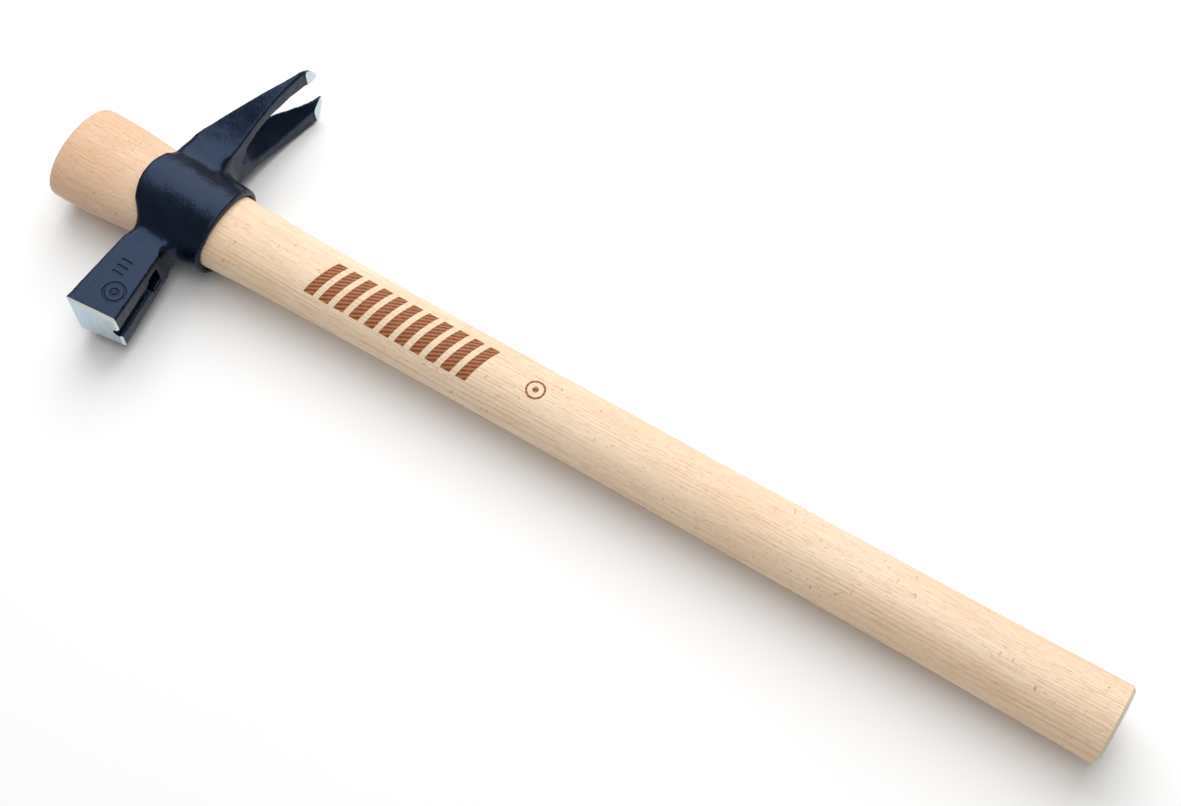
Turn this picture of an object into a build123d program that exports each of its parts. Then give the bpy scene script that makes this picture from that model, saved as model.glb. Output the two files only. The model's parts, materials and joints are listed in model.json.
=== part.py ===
"""Formwork claw hammer: a forged head with a tall oval eye, a square poll with a nail groove and a
two-prong claw, driven onto a flared beech handle that slips through the eye from above.

The hammer lies on its side. +X runs down the handle to the grip end, +Y points along the head to the
claw, +Z is up. The origin is the middle of the footprint, on the surface the hammer lies on.
"""

import os
from math import cos, radians, sin

from build123d import *

os.makedirs("parts", exist_ok=True)

# Driving dimensions, mm
HANDLE_ABOVE = 54.0  # eye centre to the flared top end of the handle
HANDLE_BELOW = 397.0  # eye centre to the butt
FACE_REACH = 58.8  # eye centre to the middle of the striking face
FACE_HEIGHT = 21.6
FACE_LEAN = 4.5  # degrees the face looks towards the grip
FACE_BEVEL = 1.1
CLAW_REACH = 75.0  # eye centre to the claw tips
CLAW_SPREAD = 35.0  # width over the two prongs

# The eye centre in the frame, so that the origin is the middle of the footprint
head_front = FACE_REACH + (FACE_HEIGHT / 2 - FACE_BEVEL) * sin(radians(FACE_LEAN))
EYE = Vector(
    (HANDLE_ABOVE - HANDLE_BELOW) / 2,
    (head_front - CLAW_REACH) / 2,
    CLAW_SPREAD / 2,
)

# Handle: half widths along Y and half thicknesses along Z, at even stations from top end to butt
HANDLE_HALF_WIDTHS = [20.6, 18.6, 15.9, 14.8, 14.4, 14.2, 14.1, 14.1, 14.2, 14.4, 14.8, 15.3]
HANDLE_HALF_THICKNESSES = [15.0, 13.5, 11.8, 11.1, 11.2, 11.4, 11.6, 11.9, 12.4, 12.9, 13.6, 14.4]
TOP_EDGE_ROUND = 2.0
BUTT_BEVEL = 1.3

# Collar around the eye, with the same three numbers, and the bore it leaves for the handle
COLLAR_TOP = (-17.2, 22.0, 17.0)
COLLAR_FOOT = (19.2, 18.9, 15.4)
BORE_TOP = (-18.0, 19.1, 13.9)
BORE_FOOT = (20.0, 16.8, 12.5)
# Top edge of the collar in side view: Y, and how far it lies below the crown there
COLLAR_ARCH = [(-24.0, 8.8), (-14.5, 4.7), (-7.5, 1.4), (0.0, 0.0), (9.0, 0.8), (24.0, 4.8)]

FOOT_ARCH = 1.6  # how much shorter the collar's foot is beside the poll and the claw

# Poll: (top edge X, grip edge X, half width at the top edge, half width at the grip edge)
POLL_ROOT = (-9.1, 5.0, 9.4, 7.5)
POLL_ROOT_Y = -12.0
POLL_FACE = (-FACE_HEIGHT / 2, FACE_HEIGHT / 2, 12.0, 10.2)

# Forged fillets where the poll and the claw leave the collar
POLL_FILLET = 4.0
CLAW_FILLET = 3.0

# Nail groove and pocket on the poll's grip side
GROOVE_WIDTH = 4.6
GROOVE_DEPTH = 3.2
POCKET_Y = -32.0
POCKET_LENGTH = 6.5
POCKET_WIDTH = 8.6
POCKET_DEPTH = 4.5
MAGNET_RADIUS = 3.0
MAGNET_HEIGHT = 3.5
MAGNET_STANDOFF = 1.0  # how far the magnet stands out of the pocket floor

# Claw sections: Y, crown X, edge X, underside X, half width at the edge, half width underneath
CLAW_SECTIONS = [
    (10.0, -16.0, -14.6, 4.6, 12.0, 10.0),
    (20.0, -15.8, -14.6, 4.4, 12.0, 10.1),
    (30.0, -12.9, -10.9, 4.4, 12.3, 10.4),
    (45.0, -6.5, -3.4, 5.3, 14.9, 13.8),
    (60.0, 1.4, 4.6, 7.5, 17.0, 16.4),
    (CLAW_REACH, 7.9, 8.2, 10.8, 19.6, 19.6),
]
# V slot between the prongs: Y, underside X, half width there, upper X, half width there
SLOT_SECTIONS = [
    (28.6, 6.4, 2.0, 3.6, 0.8),
    (33.0, 6.5, 8.0, 1.6, 1.4),
    (40.0, 6.9, 9.6, -2.6, 1.3),
    (48.0, 7.7, 10.5, -6.4, 0.9),
    (60.0, 9.5, 11.7, -0.6, 1.3),
    (68.0, 11.9, 12.6, 3.4, 2.4),
    (CLAW_REACH + 2.0, 11.0, 7.7, 6.0, 4.0),
]
TIP_POINT = (CLAW_REACH, 6.4)  # Y and half width of each prong's point, seen from the grip
TIP_BULGE = (72.4, 12.8)
TIP_SHOULDER = (67.0, CLAW_SPREAD / 2)
TIP_GRIND = [(9.9, 68.3), (8.9, CLAW_REACH)]  # X and Y of the ground underside of each tip


def across_handle(x):
    """Plane square to the handle at X from the eye centre; local axes are Y and Z."""
    return Plane(origin=EYE + Vector(x, 0, 0), x_dir=(0, 1, 0), z_dir=(1, 0, 0))


def across_head(y):
    """Plane square to the head at Y from the eye centre; local axes are X and Z."""
    return Plane(origin=EYE + Vector(0, y, 0), x_dir=(1, 0, 0), z_dir=(0, -1, 0))


def oval(x, half_width, half_thickness):
    """Oval section of the handle, the collar or the eye's bore."""
    with BuildSketch(across_handle(x)) as section:
        Ellipse(half_width, half_thickness)
    return section.sketch


def trapezoid(plane, x_high, x_low, half_high, half_low):
    """Four-sided section, symmetric about the mid plane."""
    with BuildSketch(plane) as section:
        with BuildLine():
            Polyline(
                (x_high, -half_high),
                (x_high, half_high),
                (x_low, half_low),
                (x_low, -half_low),
                close=True,
            )
        make_face()
    return section.sketch


def crowned(y, x_crown, x_edge, x_under, half_edge, half_under):
    """Claw section: flat underneath, arched on top."""
    with BuildSketch(across_head(y)) as section:
        with BuildLine():
            ThreePointArc((x_edge, -half_edge), (x_crown, 0), (x_edge, half_edge))
            Polyline(
                (x_edge, half_edge),
                (x_under, half_under),
                (x_under, -half_under),
                (x_edge, -half_edge),
            )
        make_face()
    return section.sketch


def slot_section(y, x_under, half_under, x_upper, half_upper):
    return trapezoid(across_head(y), x_upper, x_under, half_upper, half_under)


# --- Handle ---------------------------------------------------------------------------------
with BuildPart() as handle:
    station_gap = (HANDLE_ABOVE + HANDLE_BELOW) / (len(HANDLE_HALF_WIDTHS) - 1)
    halves = zip(HANDLE_HALF_WIDTHS, HANDLE_HALF_THICKNESSES)
    sections = [oval(i * station_gap - HANDLE_ABOVE, *half) for i, half in enumerate(halves)]
    loft(sections=sections)
    ends = handle.faces().filter_by(GeomType.PLANE).sort_by(Axis.X)
    fillet(ends[0].edges(), TOP_EDGE_ROUND)
    ends = handle.faces().filter_by(GeomType.PLANE).sort_by(Axis.X)
    chamfer(ends[-1].edges(), BUTT_BEVEL)
handle.part.label = "handle"

# --- Head -----------------------------------------------------------------------------------
face_middle = EYE - Vector(0, FACE_REACH, 0)
face_run = Vector(cos(radians(FACE_LEAN)), sin(radians(FACE_LEAN)), 0)
face_normal = Vector(face_run.Y, -face_run.X, 0)
face_plane = Plane(origin=face_middle, x_dir=face_run, z_dir=face_normal)

# The poll's grip side, from its root to the face
grip_side_root = EYE + Vector(POLL_ROOT[1], POLL_ROOT_Y, 0)
grip_side_end = face_middle + face_run * (FACE_HEIGHT / 2)
grip_side_run = (grip_side_end - grip_side_root).normalized()
grip_side_out = Vector(-grip_side_run.Y, grip_side_run.X, 0)
pocket_middle = grip_side_root + grip_side_run * ((POLL_ROOT_Y - POCKET_Y) / -grip_side_run.Y)
pocket_plane = Plane(origin=pocket_middle, x_dir=grip_side_run, z_dir=grip_side_out)

with BuildPart() as hammer_head:
    # Collar, its top edge and its foot arched in side view
    loft(sections=[oval(*COLLAR_TOP), oval(*COLLAR_FOOT)])
    with BuildSketch(Plane(origin=EYE)):
        with BuildLine():
            Spline(*[(COLLAR_TOP[0] + drop, y) for y, drop in COLLAR_ARCH])
            first_y, first_drop = COLLAR_ARCH[0]
            last_y, last_drop = COLLAR_ARCH[-1]
            Polyline(
                (COLLAR_TOP[0] + last_drop, last_y),
                (COLLAR_TOP[0] - 1, last_y),
                (COLLAR_TOP[0] - 1, first_y),
                (COLLAR_TOP[0] + first_drop, first_y),
            )
        make_face()
    extrude(amount=CLAW_SPREAD, both=True, mode=Mode.SUBTRACT)

    foot, _, _ = COLLAR_FOOT
    with BuildSketch(Plane(origin=EYE)):
        with BuildLine():
            ThreePointArc((foot - FOOT_ARCH, first_y), (foot, 0), (foot - FOOT_ARCH, last_y))
            Polyline(
                (foot - FOOT_ARCH, last_y),
                (foot + 1, last_y),
                (foot + 1, first_y),
                (foot - FOOT_ARCH, first_y),
            )
        make_face()
    extrude(amount=CLAW_SPREAD, both=True, mode=Mode.SUBTRACT)

    # Poll, flaring from the collar to the leaning striking face
    poll_root = trapezoid(across_head(POLL_ROOT_Y), *POLL_ROOT)
    poll_face = trapezoid(face_plane, *POLL_FACE)
    loft(sections=[poll_root, poll_face])
    junction = hammer_head.edges().filter_by_position(Axis.Y, EYE.Y - 21, EYE.Y - 15)
    fillet(junction.filter_by_position(Axis.X, EYE.X - 5, EYE.X + 8), POLL_FILLET)
    face = hammer_head.faces().filter_by(GeomType.PLANE).sort_by(Axis.Y)[0]
    chamfer(face.edges(), FACE_BEVEL)

    # Claw, a crowned wedge that widens towards its tips
    loft(sections=[crowned(*section) for section in CLAW_SECTIONS])
    junction = hammer_head.edges().filter_by_position(Axis.Y, EYE.Y + 13, EYE.Y + 22)
    fillet(junction.filter_by_position(Axis.X, EYE.X - 8, EYE.X + 8), CLAW_FILLET)

    # Slot between the prongs, wide underneath and narrow on top
    slot = [slot_section(*section) for section in SLOT_SECTIONS]
    loft(sections=slot, ruled=True, mode=Mode.SUBTRACT)

    # Rounded outer corner and ground underside of each tip
    with BuildSketch(Plane(origin=EYE, x_dir=(0, 1, 0), z_dir=(1, 0, 0))):
        with BuildLine():
            ThreePointArc(TIP_POINT, TIP_BULGE, TIP_SHOULDER)
            Polyline(
                TIP_SHOULDER,
                (CLAW_REACH / 2, TIP_SHOULDER[1]),
                (CLAW_REACH / 2, CLAW_SPREAD),
                (CLAW_REACH + 5, CLAW_SPREAD),
                (CLAW_REACH + 5, TIP_POINT[1]),
                TIP_POINT,
            )
        make_face()
        mirror(about=Plane.XZ)
    extrude(amount=HANDLE_ABOVE, both=True, mode=Mode.SUBTRACT)
    with BuildSketch(Plane(origin=EYE)):
        with BuildLine():
            Polyline(
                *TIP_GRIND,
                (TIP_GRIND[0][0] + 5, TIP_GRIND[1][1]),
                (TIP_GRIND[0][0] + 5, TIP_GRIND[0][1]),
                close=True,
            )
        make_face()
    extrude(amount=CLAW_SPREAD, both=True, mode=Mode.SUBTRACT)

    # Eye, a little loose around the handle at the foot
    loft(sections=[oval(*BORE_TOP), oval(*BORE_FOOT)], mode=Mode.SUBTRACT)

    # Nail groove from the striking face to the pocket, and the magnet's seat
    groove_start = Plane(
        origin=grip_side_end + grip_side_run * 4, x_dir=grip_side_out, z_dir=grip_side_run
    )
    with BuildSketch(groove_start):
        SlotOverall(2 * GROOVE_DEPTH, GROOVE_WIDTH)
    extrude(amount=-(FACE_REACH + POCKET_Y + 4), mode=Mode.SUBTRACT)
    with BuildSketch(pocket_plane):
        RectangleRounded(POCKET_LENGTH, POCKET_WIDTH, 1.5)
    extrude(amount=-POCKET_DEPTH, mode=Mode.SUBTRACT)
    with BuildSketch(pocket_plane):
        Circle(MAGNET_RADIUS)
    extrude(amount=-(POCKET_DEPTH + MAGNET_HEIGHT - MAGNET_STANDOFF), mode=Mode.SUBTRACT)
hammer_head.part.label = "hammer_head"

# --- Magnet at the bottom of the pocket -------------------------------------------------------
with BuildPart() as nail_magnet:
    with BuildSketch(pocket_plane.offset(MAGNET_STANDOFF - POCKET_DEPTH)):
        Circle(MAGNET_RADIUS)
    extrude(amount=-MAGNET_HEIGHT)
    rim = nail_magnet.faces().filter_by(GeomType.PLANE).sort_by(Axis.X)[-1]
    chamfer(rim.edges(), 0.4)
nail_magnet.part.label = "nail_magnet"

for built in (handle, hammer_head, nail_magnet):
    export_step(built.part, f"parts/{built.part.label}.step")
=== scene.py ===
"""Formwork claw hammer lying on its side: a forged, enamelled head on a flared beech handle.

+X runs down the handle to the grip end, +Y along the head to the claw, +Z is up. Named lengths are in
millimetres, and MM turns them into the scene's metres.
"""

import json
from math import cos, pi, radians, sin

import bmesh
import bpy
import numpy as np
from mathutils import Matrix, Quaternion, Vector, noise


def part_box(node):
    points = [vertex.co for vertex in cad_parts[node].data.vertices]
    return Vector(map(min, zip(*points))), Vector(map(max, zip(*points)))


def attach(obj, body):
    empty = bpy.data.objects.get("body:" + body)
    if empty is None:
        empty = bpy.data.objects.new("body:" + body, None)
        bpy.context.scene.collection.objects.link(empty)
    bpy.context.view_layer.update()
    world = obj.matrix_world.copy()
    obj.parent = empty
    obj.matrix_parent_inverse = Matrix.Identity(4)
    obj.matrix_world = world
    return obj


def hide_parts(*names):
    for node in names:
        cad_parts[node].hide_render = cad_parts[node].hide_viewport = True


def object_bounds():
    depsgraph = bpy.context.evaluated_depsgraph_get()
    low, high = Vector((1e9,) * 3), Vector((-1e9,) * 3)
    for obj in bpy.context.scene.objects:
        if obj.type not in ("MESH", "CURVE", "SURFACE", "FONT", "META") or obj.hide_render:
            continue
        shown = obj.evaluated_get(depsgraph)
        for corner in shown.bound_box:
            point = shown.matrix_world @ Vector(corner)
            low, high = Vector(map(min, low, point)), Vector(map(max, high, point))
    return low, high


MM = 0.001

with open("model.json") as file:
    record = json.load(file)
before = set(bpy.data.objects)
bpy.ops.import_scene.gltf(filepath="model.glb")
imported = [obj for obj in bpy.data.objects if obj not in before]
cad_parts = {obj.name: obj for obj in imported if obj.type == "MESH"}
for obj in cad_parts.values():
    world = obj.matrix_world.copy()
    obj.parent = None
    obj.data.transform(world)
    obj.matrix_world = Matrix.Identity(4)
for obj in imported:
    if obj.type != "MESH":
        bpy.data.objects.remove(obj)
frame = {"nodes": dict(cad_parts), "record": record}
cad_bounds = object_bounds()

# --- Places taken from the frame ----------------------------------------------------------------
mounts = {mount["name"]: mount for mount in frame["record"]["mounts"]}
FACE_MIDDLE = Vector(mounts["striking_face"]["pos_m"])
FACE_OUT = Vector(mounts["striking_face"]["axis"])
FACE_RUN = Vector((-FACE_OUT.y, FACE_OUT.x, 0))  # across the face, towards the grip
BUTT = Vector(mounts["butt_end"]["pos_m"])
EYE = Vector((FACE_MIDDLE.x, BUTT.y, FACE_MIDDLE.z))  # middle of the eye
TOP_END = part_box("handle")[0].x
UP = Vector((0, 0, 1))


def from_eye(x, y, z):
    """Point at x, y, z millimetres from the middle of the eye."""
    return EYE + Vector((x, y, z)) * MM


# --- Named sizes, mm ----------------------------------------------------------------------------
# Forging
GRAIN_OF_MESH = 0.38  # spacing of the head's mesh
SOFTENING_ROUNDS = 9
HAMMERED_SIZE = 5.5  # dents left by the forge
HAMMERED_DEPTH = 0.13
SCALE_SIZE = 1.5  # finer pitting of the forged skin
SCALE_DEPTH = 0.035
SKIN_GROWTH = 0.16  # makes up for what the softening takes off
BLEND_MIDDLES = (-18.5, 18.0)  # along Y: where the poll and the claw grow out of the collar
BLEND_REACH = 7.0
BLEND_ROUNDS = 160
RIM_FROM = 17.0  # X where the collar's rim starts, which stays crisp
SLOT_FROM = 42.0  # Y where the claw's slot breaks through and its edges turn thin
SLOT_WIDENING = 0.12  # half width of the thin edges' zone, as a share of Y
SLOT_ROUNDS = 45
CRUMB = 400  # vertices: anything smaller that comes loose in remeshing is dropped
FLAT_FROM = 22.0  # distance from the eye towards the face where the poll's flat sides start
FLAT_OVER = 8.0  # length over which the dents fade there
FLAT_CALM = 0.6  # share of the dents' depth that the flat sides lose
CREASE = radians(12)  # a ground edge bent by more than this is shaded sharp

# Striking face
FACE_HALF_HEIGHT = 10.8
FACE_HALF_WIDTH_TOP = 12.0
FACE_HALF_WIDTH_GRIP = 10.2
FACE_STOCK = 2.0  # extra metal that is ground away to leave a crisp face
FACE_LAYER = 1.6  # what lies this close behind the face moves out with the stock
FACE_BEVEL_TOP = 0.8
FACE_BEVEL_GRIP = 1.9
FACE_BEVEL_SLOPE = 1.7  # how much wider than deep the side bevels are

# Claw tips: two points, from the eye, on the ground underside of the prongs
TIP_GRIND_FROM = Vector((9.75, 67.8, 0))
TIP_GRIND_TO = Vector((8.75, 75.0, 0))
TIP_STOCK = 1.6
TIP_LAYER = 0.2
TIP_FROM = 67.0  # Y

# Maker's stamp in the near side of the poll: a ring with a peg in it, and three short bars
STAMP_MIDDLE = (3.0, -47.8)
STAMP_RING_RADIUS = 4.1
STAMP_PEG_RADIUS = 1.3
STAMP_LINE = 0.42  # half width of a line
STAMP_WALL = 0.24  # width of a line's sloping side
STAMP_DEPTH = 0.38
STAMP_BARS = [-40.4, -37.4, -34.4]
STAMP_BAR_X = (-3.0, 0.6)
STAMP_FIELD_X = (-5.5, 8.5)  # the part of the poll's side that gets the finer mesh
STAMP_FIELD_Y = (-53.5, -31.5)


# --- Shader maths -------------------------------------------------------------------------------
class Wire:
    """A value on its way between shader nodes. Arithmetic on it adds Math nodes."""

    def __init__(self, finish, socket):
        self.finish = finish
        self.socket = socket

    def math(self, operation, *values):
        """The result of a Math node on the values."""
        return self.finish.node("ShaderNodeMath", {"operation": operation}, dict(enumerate(values)))

    def __add__(self, other):
        return self.math("ADD", self, other)

    def __radd__(self, other):
        return self.math("ADD", other, self)

    def __sub__(self, other):
        return self.math("SUBTRACT", self, other)

    def __rsub__(self, other):
        return self.math("SUBTRACT", other, self)

    def __mul__(self, other):
        return self.math("MULTIPLY", self, other)

    def __rmul__(self, other):
        return self.math("MULTIPLY", other, self)

    def __truediv__(self, other):
        return self.math("DIVIDE", self, other)

    def __rtruediv__(self, other):
        return self.math("DIVIDE", other, self)

    def __pow__(self, other):
        return self.math("POWER", self, other)

    def __abs__(self):
        return self.math("ABSOLUTE", self)

    def sine(self):
        """Its sine, in radians."""
        return self.math("SINE", self)

    def part(self):
        """What is left after the whole number."""
        return self.math("FRACT", self)

    def ramp(self, start, end):
        """0 at start, 1 at end and smooth in between. start may be the larger."""
        swapped = start > end
        low, high = sorted((start, end))
        settings = {"interpolation_type": "SMOOTHSTEP"}
        raised = self.finish.node(
            "ShaderNodeMapRange", settings, {"Value": self, "From Min": low, "From Max": high}
        )
        return 1 - raised if swapped else raised

    def between(self, start, end):
        """1 from start to end and 0 outside, with edges 0.2 wide."""
        return self.ramp(start - 0.1, start + 0.1) * self.ramp(end + 0.1, end - 0.1)


class Finish:
    """A material on the Principled shader. Constants go straight onto the shader's own sockets."""

    def __init__(self, name, constants):
        self.material = bpy.data.materials.new(name)
        self.material.use_nodes = True
        self.tree = self.material.node_tree
        self.shader = self.tree.nodes["Principled BSDF"]
        for socket, value in constants.items():
            self.put(self.shader, socket, value)
        self.place = self.node("ShaderNodeTexCoord", {}, {}, "Object")

    def put(self, node, socket, value):
        """Sets a node's socket to a value, or links it. The socket is a name or a number."""
        if isinstance(socket, str):
            socket = next(s for s in node.inputs if s.enabled and s.name == socket)
        else:
            socket = node.inputs[socket]
        if isinstance(value, Wire):
            self.tree.links.new(value.socket, socket)
        elif socket.type == "RGBA":
            socket.default_value = (*value, 1)
        else:
            socket.default_value = value

    def node(self, kind, settings, values, output=None):
        """Adds a node: its settings first, then the values or links of its sockets."""
        added = self.tree.nodes.new(kind)
        for name, value in settings.items():
            setattr(added, name, value)
        for socket, value in values.items():
            self.put(added, socket, value)
        shown = [s for s in added.outputs if s.enabled and output in (None, s.name)]
        return Wire(self, shown[0])

    def stretched(self, x, y, z):
        """The place on the object, with x, y and z as the pattern's size each way in mm."""
        scale = (1 / (x * MM), 1 / (y * MM), 1 / (z * MM))
        return self.node(
            "ShaderNodeVectorMath", {"operation": "MULTIPLY"}, {0: self.place, 1: scale}, "Vector"
        )

    def noise(self, x, y, z, detail=2.0, roughness=0.5):
        """Noise from 0 to 1 with features of about x, y and z mm."""
        values = {
            "Vector": self.stretched(x, y, z),
            "Scale": 1.0,
            "Detail": detail,
            "Roughness": roughness,
        }
        return self.node("ShaderNodeTexNoise", {}, values)

    def coordinates(self):
        """x, y and z in mm from the middle of the eye."""
        parts = [self.node("ShaderNodeSeparateXYZ", {}, {0: self.place}, name) for name in "XYZ"]
        return [part / MM - middle / MM for part, middle in zip(parts, EYE)]

    def mix(self, share, first, second):
        """Colour on its way from first to second."""
        values = {"Factor": share, "A": first, "B": second}
        return self.node("ShaderNodeMix", {"data_type": "RGBA"}, values)

    def bump(self, height, depth):
        """Raised by height times depth mm."""
        values = {"Strength": 1.0, "Distance": depth * MM, "Height": height}
        self.put(self.shader, "Normal", self.node("ShaderNodeBump", {}, values))


def srgb(red, green, blue):
    """Colour from its everyday 0 to 255 values."""
    return tuple(((part / 255 + 0.055) / 1.055) ** 2.4 for part in (red, green, blue))


# --- Finishes -----------------------------------------------------------------------------------
PITH = (-6.0, 95.0)  # Y and Z of the tree's heart, from the eye: the rings cross the top side
RING_SPACING = 1.25
MARK_X = (66.0, 141.0)  # burned band of slanted bars
MARK_Y = (-9.3, 7.2)
MARK_PITCH = 6.9
MARK_BAR = 0.62  # share of the pitch that is burned
MARK_SLANT = 0.32
BURN_SPACING = 1.45  # between the laser's passes
SMALL_MARK = (161.5, 0.2)
SMALL_MARK_RADIUS = 3.5


def burned_mark(finish, x, y, z):
    """1 where the laser burned the wood: a band of slanted bars, and a ring with a dot."""
    leaning = x - y * MARK_SLANT
    inside = leaning.between(*MARK_X) * y.between(*MARK_Y)
    phase = ((leaning - MARK_X[0]) / MARK_PITCH).part()
    bars = phase.ramp(MARK_BAR + 0.015, MARK_BAR - 0.015)
    from_middle = ((x - SMALL_MARK[0]) ** 2 + (y - SMALL_MARK[1]) ** 2) ** 0.5
    ring = abs(from_middle - SMALL_MARK_RADIUS).ramp(0.5, 0.3)
    dot = from_middle.ramp(1.3, 1.1)
    return (inside * bars + ring + dot) * z.ramp(0.0, 1.0)


def beech():
    """Pale beech, fine sanded: close rings, brown pores along the grain and ray flecks across it."""
    finish = Finish("beech", {"Specular IOR Level": 0.45})
    x, y, z = finish.coordinates()
    drift = finish.noise(150, 40, 40, 1.0) * 5 + finish.noise(26, 4, 4, 2.0) * 0.8
    heart = (((y - PITH[1]) ** 2 + (z - PITH[0]) ** 2) ** 0.5 + drift) / RING_SPACING
    rings = ((heart * (2 * pi)).sine() * 0.5 + 0.5) ** 2
    ring_strength = finish.noise(60, 6, 6, 1.0).ramp(0.25, 0.75)
    fibre = finish.noise(16, 0.5, 0.5, 3.0, 0.6)
    pores = finish.noise(3.2, 0.3, 0.3, 1.0).ramp(0.6, 0.72)
    flecks = finish.noise(1.3, 2.8, 2.4, 1.0, 0.4).ramp(0.66, 0.8)
    fleck_zone = finish.noise(30, 14, 14, 0.0).ramp(0.42, 0.6)
    tone = finish.noise(90, 30, 30, 1.0)

    colour = finish.mix(tone.ramp(0.3, 0.7), srgb(238, 215, 188), srgb(233, 204, 172))
    colour = finish.mix(x.ramp(5, -40) * 0.85, colour, srgb(220, 180, 148))
    colour = finish.mix(rings * ring_strength * 0.5, colour, srgb(208, 164, 118))
    colour = finish.mix(fibre.ramp(0.5, 0.72) * 0.5, colour, srgb(212, 168, 124))
    colour = finish.mix(fibre.ramp(0.48, 0.3) * 0.35, colour, srgb(246, 230, 208))
    colour = finish.mix(pores * 0.4, colour, srgb(176, 127, 84))
    colour = finish.mix(flecks * fleck_zone * 0.7, colour, srgb(188, 134, 90))
    end_x = (BUTT.x - EYE.x) / MM
    sawn = x.ramp(end_x - 1.25, end_x - 1.05)
    colour = finish.mix(sawn * 0.75, colour, srgb(204, 203, 182))
    top_x = (TOP_END - EYE.x) / MM
    colour = finish.mix(x.ramp(top_x + 0.9, top_x + 0.3) * 0.45, colour, srgb(176, 134, 92))

    burned = burned_mark(finish, x, y, z)
    sweep = ((x * 0.38 - y * 0.92) / BURN_SPACING + fibre * 0.6).part()
    raster = abs(sweep - 0.5).ramp(0.12, 0.36)
    char = finish.mix(raster, srgb(118, 60, 28), srgb(170, 108, 66))
    colour = finish.mix(burned, colour, char)

    finish.put(finish.shader, "Base Color", colour)
    finish.put(finish.shader, "Roughness", 0.46 + fibre * 0.2 + burned * 0.15)
    finish.bump(fibre * 0.6 - pores * 0.8 - burned * 1.6 - rings * 0.2, 0.05)
    return finish.material


def enamelled_steel():
    """Blue-black enamel over forged steel, and bright steel where the face and the tips are ground."""
    constants = {"Specular IOR Level": 0.42, "Specular Tint": (0.4, 0.58, 1.0)}
    finish = Finish("blue_black_enamel", constants)
    x, y, z = finish.coordinates()
    ground = finish.node("ShaderNodeAttribute", {"attribute_name": "ground"}, {}, "Fac")
    orange_peel = finish.noise(0.8, 0.8, 0.8, 2.0, 0.6)
    # painted glints: tiny pale bluish specks in the enamel's colour stand in for pinpoint highlights on
    # its bumps
    painted_glint_specks = finish.noise(0.45, 0.45, 0.45, 1.0).ramp(0.73, 0.8)
    patches = finish.noise(9, 9, 9, 2.0)
    scratches = finish.noise(0.35, 0.35, 9, 2.0, 0.6)
    stains = finish.noise(3.2, 3.2, 3.2, 3.0)

    enamel = finish.mix(patches.ramp(0.3, 0.7), (0.0008, 0.0018, 0.0045), (0.002, 0.0045, 0.011))
    # mixes the painted glint specks into the enamel colour
    enamel = finish.mix(painted_glint_specks * 0.35, enamel, (0.05, 0.065, 0.09))
    steel = finish.mix(scratches.ramp(0.3, 0.7), (0.66, 0.71, 0.62), (0.8, 0.84, 0.74))
    steel = finish.mix(stains.ramp(0.5, 0.7) * 0.3, steel, (0.54, 0.58, 0.51))
    finish.put(finish.shader, "Base Color", finish.mix(ground, enamel, steel))
    finish.put(finish.shader, "Metallic", ground * 1.0)
    enamel_roughness = 0.17 + patches * 0.14 + orange_peel * 0.06
    finish.put(
        finish.shader,
        "Roughness",
        enamel_roughness * (1 - ground) + (0.3 + scratches * 0.16) * ground,
    )
    finish.bump(orange_peel * (1 - ground) + scratches * ground * 0.12, 0.085)
    return finish.material


def nickel():
    """Dull nickel skin of the nail magnet."""
    finish = Finish("dull_nickel", {"Metallic": 1.0})
    wear = finish.noise(0.8, 0.8, 0.8, 3.0)
    colour = finish.mix(wear.ramp(0.35, 0.7), (0.25, 0.25, 0.26), (0.42, 0.42, 0.42))
    finish.put(finish.shader, "Base Color", colour)
    finish.put(finish.shader, "Roughness", 0.3 + wear * 0.25)
    finish.bump(wear, 0.03)
    return finish.material


# --- Forged head --------------------------------------------------------------------------------
def cad_mesh(node):
    """A copy of a CAD node's mesh, with its split vertices joined."""
    bm = bmesh.new()
    bm.from_mesh(frame["nodes"][node].data)
    bmesh.ops.remove_doubles(bm, verts=bm.verts, dist=0.002 * MM)
    return bm


def even_mesh(bm, spacing):
    """The same solid in small, even quads."""
    mesh = bpy.data.meshes.new("even")
    bm.to_mesh(mesh)
    bm.free()
    holder = bpy.data.objects.new("even", mesh)
    bpy.context.scene.collection.objects.link(holder)
    remesh = holder.modifiers.new("even", "REMESH")
    remesh.mode = "VOXEL"
    remesh.voxel_size = spacing
    shown = holder.evaluated_get(bpy.context.evaluated_depsgraph_get())
    even = bpy.data.meshes.new_from_object(shown)
    bpy.data.objects.remove(holder)
    bpy.data.meshes.remove(mesh)
    return even


def places_of(mesh):
    """The places of a mesh's vertices, one row each."""
    places = np.zeros(len(mesh.vertices) * 3)
    mesh.vertices.foreach_get("co", places)
    return places.reshape(-1, 3)


def soften(mesh, rounds, share):
    """Moves every vertex towards the mean of its neighbours, by its share of the way, a few times."""
    places = places_of(mesh)
    ends = np.zeros(len(mesh.edges) * 2, dtype=np.int64)
    mesh.edges.foreach_get("vertices", ends)
    first, second = ends.reshape(-1, 2).T
    count = np.bincount(ends, minlength=len(places))
    for _ in range(rounds):
        for axis in range(3):
            line = places[:, axis]
            total = np.bincount(first, line[second], len(line))
            total += np.bincount(second, line[first], len(line))
            places[:, axis] = line + share * (total / count - line)
    mesh.vertices.foreach_set("co", places.ravel())
    mesh.update()


def blend_share(mesh):
    """How much each vertex is smoothed where the poll and the claw flow into the collar."""
    x, y, _ = ((places_of(mesh) - np.array(EYE)) / MM).T
    off = np.min([np.abs(y - middle) for middle in BLEND_MIDDLES], axis=0)
    share = np.clip((BLEND_REACH - off) / 3, 0, 1)
    return 0.5 * share * np.clip((RIM_FROM - x) / 6, 0, 1)


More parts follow.
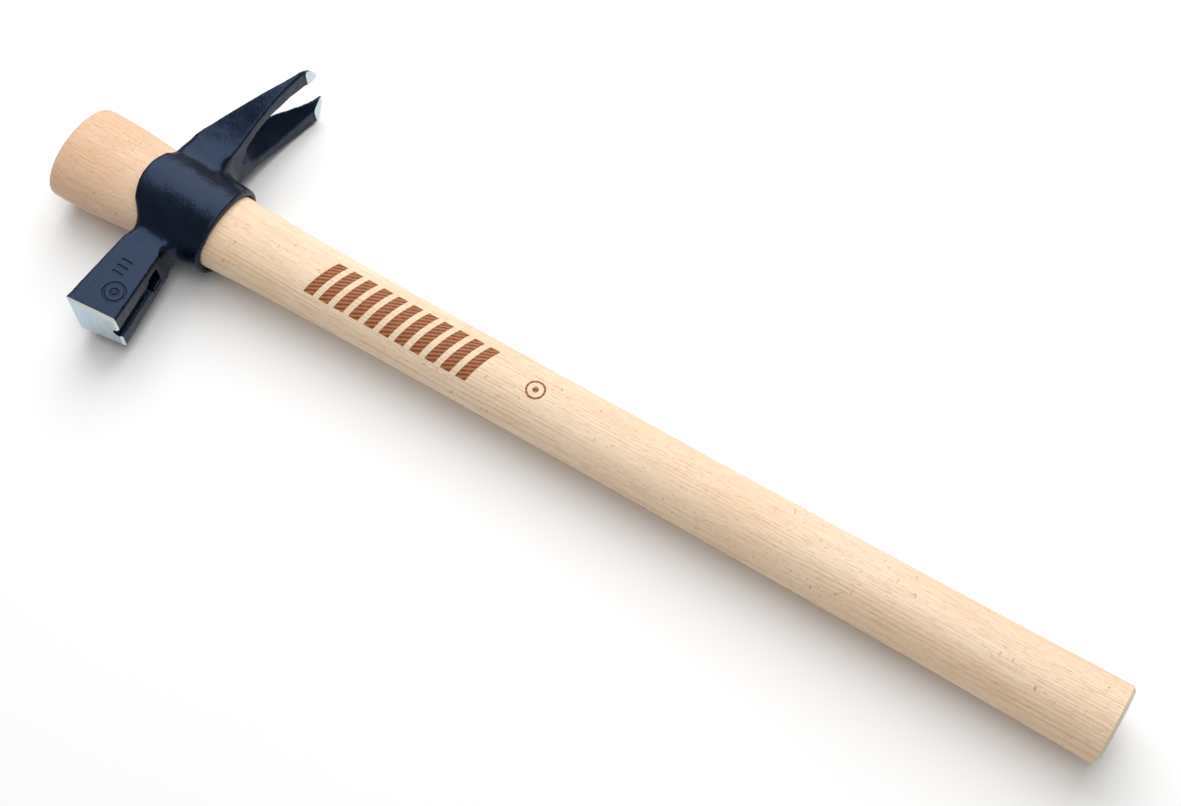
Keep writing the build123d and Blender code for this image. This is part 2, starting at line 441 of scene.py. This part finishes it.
def slot_share(mesh):
    """How much each vertex is smoothed along the thin edges of the claw's slot."""
    _, y, z = ((places_of(mesh) - np.array(EYE)) / MM).T
    share = np.clip((y * SLOT_WIDENING - np.abs(z)) / 1.5 + 0.5, 0, 1)
    return 0.5 * share * np.clip((y - SLOT_FROM) / 4, 0, 1)


def drop_crumbs(bm):
    """Removes the loose crumbs that remeshing leaves beside a thin edge."""
    seen = set()
    crumbs = []
    for start in bm.verts:
        if start in seen:
            continue
        island = {start}
        waiting = [start]
        while waiting:
            vert = waiting.pop()
            for edge in vert.link_edges:
                other = edge.other_vert(vert)
                if other not in island:
                    island.add(other)
                    waiting.append(other)
        seen |= island
        if len(island) < CRUMB:
            crumbs += island
    bmesh.ops.delete(bm, geom=crumbs, context="VERTS")


def hammer_skin(mesh):
    """Shallow dents and fine scale over the forged surface, less of them on the poll's flat sides."""
    places = places_of(mesh)
    normals = np.zeros(len(mesh.vertices) * 3)
    mesh.vertex_normals.foreach_get("vector", normals)
    depth = np.empty(len(places))
    for index, place in enumerate(places / MM):
        on_flat = min(max((EYE.y / MM - FLAT_FROM - place[1]) / FLAT_OVER, 0), 1)
        dent = noise.noise(place / HAMMERED_SIZE) * HAMMERED_DEPTH * (1 - FLAT_CALM * on_flat)
        depth[index] = dent + noise.noise(place / SCALE_SIZE) * SCALE_DEPTH + SKIN_GROWTH
    places += normals.reshape(-1, 3) * depth[:, None] * MM
    mesh.vertices.foreach_set("co", places.ravel())
    mesh.update()


def grind(bm, ground, point, outward, reach):
    """Cuts away what lies outside a plane, within reach mm of a point, and marks the flat as ground."""
    near = [face for face in bm.faces if (face.calc_center_median() - point).length < reach * MM]
    edges = {edge for face in near for edge in face.edges}
    verts = {vert for face in near for vert in face.verts}
    cut = bmesh.ops.bisect_plane(
        bm,
        geom=[*verts, *edges, *near],
        plane_co=point,
        plane_no=outward,
        clear_outer=True,
        dist=1e-7,
    )
    rim = [item for item in cut["geom_cut"] if isinstance(item, bmesh.types.BMEdge)]
    filled = bmesh.ops.triangle_fill(bm, use_beauty=True, edges=rim, normal=outward)
    for item in filled["geom"]:
        if isinstance(item, bmesh.types.BMFace):
            item[ground] = 1.0


def grind_face(bm, ground):
    """The striking face, and the bevel along each of its four edges."""
    grind(bm, ground, FACE_MIDDLE, FACE_OUT, reach=24)
    for side in (-1, 1):
        inset = UP * side * (FACE_HALF_WIDTH_TOP - FACE_BEVEL_TOP) * MM
        at_top = FACE_MIDDLE - FACE_RUN * FACE_HALF_HEIGHT * MM + inset
        inset = UP * side * (FACE_HALF_WIDTH_GRIP - FACE_BEVEL_GRIP) * MM
        at_grip = FACE_MIDDLE + FACE_RUN * FACE_HALF_HEIGHT * MM + inset
        slope = UP * side * FACE_BEVEL_SLOPE - FACE_OUT
        outward = (at_grip - at_top).cross(slope).normalized()
        if outward.dot(FACE_OUT) < 0:
            outward.negate()
        grind(bm, ground, at_grip, outward, reach=26)
        across = FACE_RUN * side
        corner = FACE_MIDDLE + across * (FACE_HALF_HEIGHT - FACE_BEVEL_TOP) * MM
        grind(bm, ground, corner, (across + FACE_OUT).normalized(), reach=24)


def in_stamp(place):
    """How far inside a line of the stamp a place is: 0 outside, 1 well inside."""
    x, y = (place.x - EYE.x) / MM, (place.y - EYE.y) / MM
    from_middle = Vector((x - STAMP_MIDDLE[0], y - STAMP_MIDDLE[1])).length
    gaps = [abs(from_middle - STAMP_RING_RADIUS), abs(from_middle - STAMP_PEG_RADIUS)]
    for bar in STAMP_BARS:
        past_end = max(STAMP_BAR_X[0] - x, x - STAMP_BAR_X[1], 0)
        gaps.append(Vector((past_end, y - bar)).length)
    return min(max((STAMP_LINE + STAMP_WALL / 2 - min(gaps)) / STAMP_WALL, 0), 1)


def stamp(bm):
    """Presses the maker's stamp into the near side of the poll, with a finer mesh around it."""
    low_x, high_x = [from_eye(x, 0, 0).x for x in STAMP_FIELD_X]
    low_y, high_y = [from_eye(0, y, 0).y for y in STAMP_FIELD_Y]
    inside = []
    for face in bm.faces:
        middle = face.calc_center_median()
        if low_x < middle.x < high_x and low_y < middle.y < high_y and face.normal.z > 0.8:
            inside.append(face)
    edges = {edge for face in inside for edge in face.edges}
    bmesh.ops.subdivide_edges(bm, edges=list(edges), cuts=2, use_grid_fill=True)
    for vert in bm.verts:
        if low_x < vert.co.x < high_x and low_y < vert.co.y < high_y and vert.co.z > EYE.z:
            vert.co.z -= in_stamp(vert.co) * STAMP_DEPTH * MM


def forged_head():
    """The CAD solid with its edges softened and its skin hammered, then stamped and ground."""
    bm = cad_mesh("hammer_head")
    tip_run = (TIP_GRIND_TO - TIP_GRIND_FROM).normalized()
    tip_out = Vector((tip_run.y, -tip_run.x, 0))
    tip_end = from_eye(*TIP_GRIND_TO)
    for vert in bm.verts:
        if (vert.co - FACE_MIDDLE).dot(FACE_OUT) > -FACE_LAYER * MM:
            vert.co += FACE_OUT * FACE_STOCK * MM
        past_plane = (vert.co - tip_end).dot(tip_out)
        if vert.co.y > from_eye(0, TIP_FROM, 0).y and past_plane > -TIP_LAYER * MM:
            vert.co += tip_out * TIP_STOCK * MM
    mesh = even_mesh(bm, GRAIN_OF_MESH * MM)
    soften(mesh, SOFTENING_ROUNDS, 0.5)
    soften(mesh, BLEND_ROUNDS, blend_share(mesh))
    soften(mesh, SLOT_ROUNDS, slot_share(mesh))
    hammer_skin(mesh)

    bm = bmesh.new()
    bm.from_mesh(mesh)
    bpy.data.meshes.remove(mesh)
    ground = bm.faces.layers.float.new("ground")
    drop_crumbs(bm)
    stamp(bm)
    grind_face(bm, ground)
    grind(bm, ground, tip_end, tip_out, reach=22)
    low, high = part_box("hammer_head")
    for vert in bm.verts:
        vert.co = [min(max(vert.co[axis], low[axis]), high[axis]) for axis in range(3)]
    for face in bm.faces:
        face.smooth = True
    for edge in bm.edges:
        marks = [face[ground] for face in edge.link_faces]
        edge.smooth = not marks or max(marks) < 0.5 or edge.calc_face_angle(0) < CREASE
    head_mesh = bpy.data.meshes.new("forged_head")
    bm.to_mesh(head_mesh)
    bm.free()
    add_piece("forged_head", head_mesh, enamelled_steel(), "hammer_head")


def add_piece(name, mesh, material, node):
    """Puts a mesh in the scene in place of a CAD node."""
    piece = bpy.data.objects.new(name, mesh)
    bpy.context.scene.collection.objects.link(piece)
    mesh.materials.clear()
    mesh.materials.append(material)
    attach(piece, "root")
    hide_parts(node)


def finish_node(node, material):
    """Gives a CAD node its material."""
    piece = frame["nodes"][node]
    piece.data.materials.clear()
    piece.data.materials.append(material)
    piece.data.shade_smooth()


# --- Studio -------------------------------------------------------------------------------------
CAMERA_TARGET = Vector((6.8, 3.1, 17.5))  # near the middle of the hammer
CAMERA_DISTANCE = 741.8
CAMERA_AZIMUTH = 34.26
CAMERA_ELEVATION = 63.46
CAMERA_ROLL = -2.47
CAMERA_LENS = 60.97
SENSOR_WIDTH = 36.0
FLOOR_HALF = 3.0  # metres


def aim(thing, place, target, roll=0.0):
    """Points a light or a camera from place to target."""
    turn = (target - place).to_track_quat("-Z", "Y")
    thing.rotation_mode = "QUATERNION"
    thing.rotation_quaternion = turn @ Quaternion((0, 0, 1), radians(roll))
    thing.location = place
    bpy.context.scene.collection.objects.link(thing)


def around(target, azimuth, elevation, distance):
    """Point at a distance in mm. Azimuth 0 is on the -Y side and 90 on the +X side."""
    a, e = radians(azimuth), radians(elevation)
    return target + Vector((sin(a) * cos(e), -cos(a) * cos(e), sin(e))) * distance * MM


def softbox(name, azimuth, elevation, distance, size, power):
    """A round light, size metres across and distance mm away, that faces the hammer."""
    light = bpy.data.lights.new(name, "AREA")
    light.shape = "DISK"
    light.size = size
    light.energy = power
    middle = (cad_bounds[0] + cad_bounds[1]) / 2
    aim(bpy.data.objects.new(name, light), around(middle, azimuth, elevation, distance), middle)


def studio():
    """The camera, a white surround, two softboxes and a floor of pale paper."""
    target = CAMERA_TARGET * MM
    camera = bpy.data.cameras.new("camera")
    camera.sensor_width = SENSOR_WIDTH
    camera.lens = CAMERA_LENS
    camera.clip_start = 0.01
    holder = bpy.data.objects.new("camera", camera)
    place = around(target, CAMERA_AZIMUTH, CAMERA_ELEVATION, CAMERA_DISTANCE)
    aim(holder, place, target, CAMERA_ROLL)
    bpy.context.scene.camera = holder

    world = bpy.data.worlds.new("studio")
    world.use_nodes = True
    background = world.node_tree.nodes["Background"]
    background.inputs["Color"].default_value = (1.0, 1.0, 1.0, 1)
    background.inputs["Strength"].default_value = 0.36
    bpy.context.scene.world = world
    bpy.context.scene.view_settings.view_transform = "Standard"

    softbox("far_softbox", azimuth=205, elevation=52, distance=1300, size=1.5, power=16.5)
    softbox("top_softbox", azimuth=60, elevation=80, distance=1400, size=0.8, power=5)

    mesh = bpy.data.meshes.new("floor")
    corners = [(x * FLOOR_HALF, y * FLOOR_HALF, 0) for x, y in ((-1, -1), (1, -1), (1, 1), (-1, 1))]
    mesh.from_pydata(corners, [], [(0, 1, 2, 3)])
    floor = bpy.data.objects.new("floor", mesh)
    bpy.context.scene.collection.objects.link(floor)
    paper = Finish("pale_paper", {"Roughness": 0.9, "Specular IOR Level": 0.1})
    shade = paper.mix(paper.noise(300, 300, 300), (0.9, 0.9, 0.9), (0.93, 0.93, 0.93))
    paper.put(paper.shader, "Base Color", shade)
    mesh.materials.append(paper.material)


# --- Assembly -----------------------------------------------------------------------------------
forged_head()
finish_node("handle", beech())
finish_node("nail_magnet", nickel())
studio()
